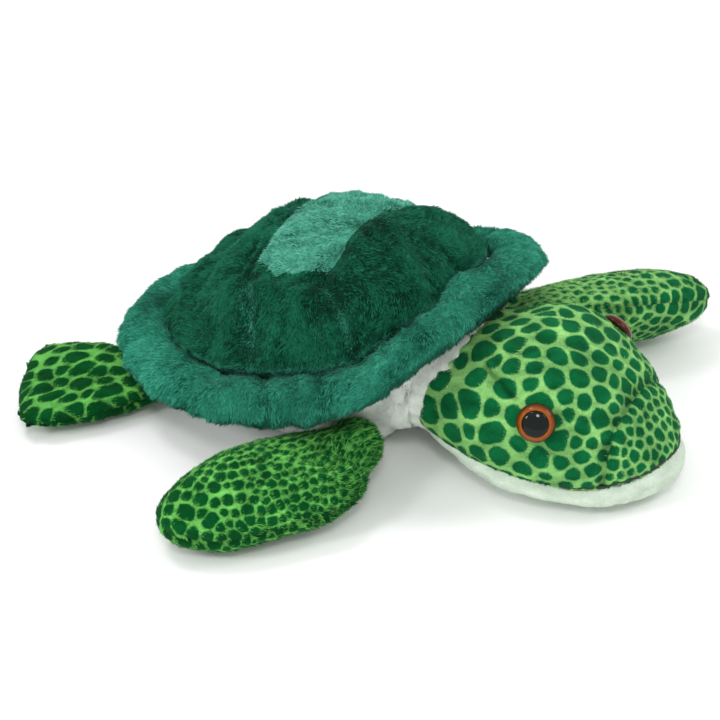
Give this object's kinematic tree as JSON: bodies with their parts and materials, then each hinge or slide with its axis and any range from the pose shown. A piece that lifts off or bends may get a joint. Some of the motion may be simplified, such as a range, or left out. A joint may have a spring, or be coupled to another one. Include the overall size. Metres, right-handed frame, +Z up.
{
  "type": "plush turtle",
  "caption": "Stuffed plush sea turtle lying on its belly, with a padded shell rim, a turning head, safety eyes and hinged flippers.",
  "frame": {"origin": "centre of the flat of the belly that the toy rests on, under the middle of the shell", "axes": "+X towards the nose, +Y towards the turtle's left side, +Z up"},
  "size_m": [0.287, 0.2642, 0.0935],
  "materials": {
    "white_plush": "short-pile plush",
    "dark_shell_plush": "long-pile plush",
    "light_shell_plush": "long-pile plush",
    "rim_plush": "long-pile plush",
    "spotted_plush": "printed short-pile plush, dark green spots",
    "fibre_fill": "loose polyester fibre",
    "eye_amber": "polished",
    "eye_black": "polished",
    "eye_washer": "moulded"
  },
  "bodies": {
    "torso": {"belly_cover": "white_plush", "torso_stuffing": "fibre_fill", "shell_centre_patch": "light_shell_plush", "shell_front_panel": "dark_shell_plush", "shell_left_panel": "dark_shell_plush", "shell_rear_panel": "dark_shell_plush", "shell_right_panel": "dark_shell_plush", "rim_front_cover": "rim_plush", "rim_left_cover": "rim_plush", "rim_rear_cover": "rim_plush", "rim_right_cover": "rim_plush", "rim_stuffing": "fibre_fill"},
    "neck": {"neck_stuffing": "fibre_fill"},
    "head": {"head_hood_cover": "spotted_plush", "snout_cover": "spotted_plush", "chin_cover": "white_plush", "head_stuffing": "fibre_fill", "left_eye_iris_ring": "eye_amber", "left_eye_pupil_and_shank": "eye_black", "left_eye_lock_washer": "eye_washer", "right_eye_iris_ring": "eye_amber", "right_eye_pupil_and_shank": "eye_black", "right_eye_lock_washer": "eye_washer"},
    "front_left_root": {"front_left_root_stuffing": "fibre_fill"},
    "front_left_flipper": {"front_left_flipper_upper_cover": "spotted_plush", "front_left_flipper_lower_cover": "spotted_plush", "front_left_flipper_stuffing": "fibre_fill"},
    "front_right_root": {"front_right_root_stuffing": "fibre_fill"},
    "front_right_flipper": {"front_right_flipper_upper_cover": "spotted_plush", "front_right_flipper_lower_cover": "spotted_plush", "front_right_flipper_stuffing": "fibre_fill"},
    "rear_left_root": {"rear_left_root_stuffing": "fibre_fill"},
    "rear_left_flipper": {"rear_left_flipper_upper_cover": "spotted_plush", "rear_left_flipper_lower_cover": "spotted_plush", "rear_left_flipper_stuffing": "fibre_fill"},
    "rear_right_root": {"rear_right_root_stuffing": "fibre_fill"},
    "rear_right_flipper": {"rear_right_flipper_upper_cover": "spotted_plush", "rear_right_flipper_lower_cover": "spotted_plush", "rear_right_flipper_stuffing": "fibre_fill"}
  },
  "joints": [
    {"name": "neck_turn", "type": "hinge", "parent": "torso", "child": "neck", "pos_m": [0.07, 0, 0.031], "axis": [0, 0, 1], "range_deg": [-12, 12]},
    {"name": "head_nod", "type": "hinge", "parent": "neck", "child": "head", "pos_m": [0.07, 0, 0.031], "axis": [0, 1, 0], "range_deg": [-3, 10]},
    {"name": "front_left_sweep", "type": "hinge", "parent": "torso", "child": "front_left_root", "pos_m": [0.046, 0.057, 0.019], "axis": [0, 0, -1], "range_deg": [-85, 4]},
    {"name": "front_left_flap", "type": "hinge", "parent": "front_left_root", "child": "front_left_flipper", "pos_m": [0.046, 0.057, 0.019], "axis": [0.6429, -0.7659, 0], "range_deg": [-35, 4]},
    {"name": "front_right_sweep", "type": "hinge", "parent": "torso", "child": "front_right_root", "pos_m": [0.04, -0.059, 0.019], "axis": [0, 0, 1], "range_deg": [-5, 84]},
    {"name": "front_right_flap", "type": "hinge", "parent": "front_right_root", "child": "front_right_flipper", "pos_m": [0.04, -0.059, 0.019], "axis": [-0.866, 0.5, 0], "range_deg": [-35, 4]},
    {"name": "rear_left_sweep", "type": "hinge", "parent": "torso", "child": "rear_left_root", "pos_m": [-0.057, 0.035, 0.009], "axis": [0, 0, -1], "range_deg": [-30, 3]},
    {"name": "rear_left_flap", "type": "hinge", "parent": "rear_left_root", "child": "rear_left_flipper", "pos_m": [-0.057, 0.035, 0.009], "axis": [0.9135, 0.4068, 0], "range_deg": [-30, 3]},
    {"name": "rear_right_sweep", "type": "hinge", "parent": "torso", "child": "rear_right_root", "pos_m": [-0.057, -0.035, 0.009], "axis": [0, 0, 1], "range_deg": [-5, 30]},
    {"name": "rear_right_flap", "type": "hinge", "parent": "rear_right_root", "child": "rear_right_flipper", "pos_m": [-0.057, -0.035, 0.009], "axis": [-0.6159, 0.7878, 0], "range_deg": [-30, 3]}
  ]
}
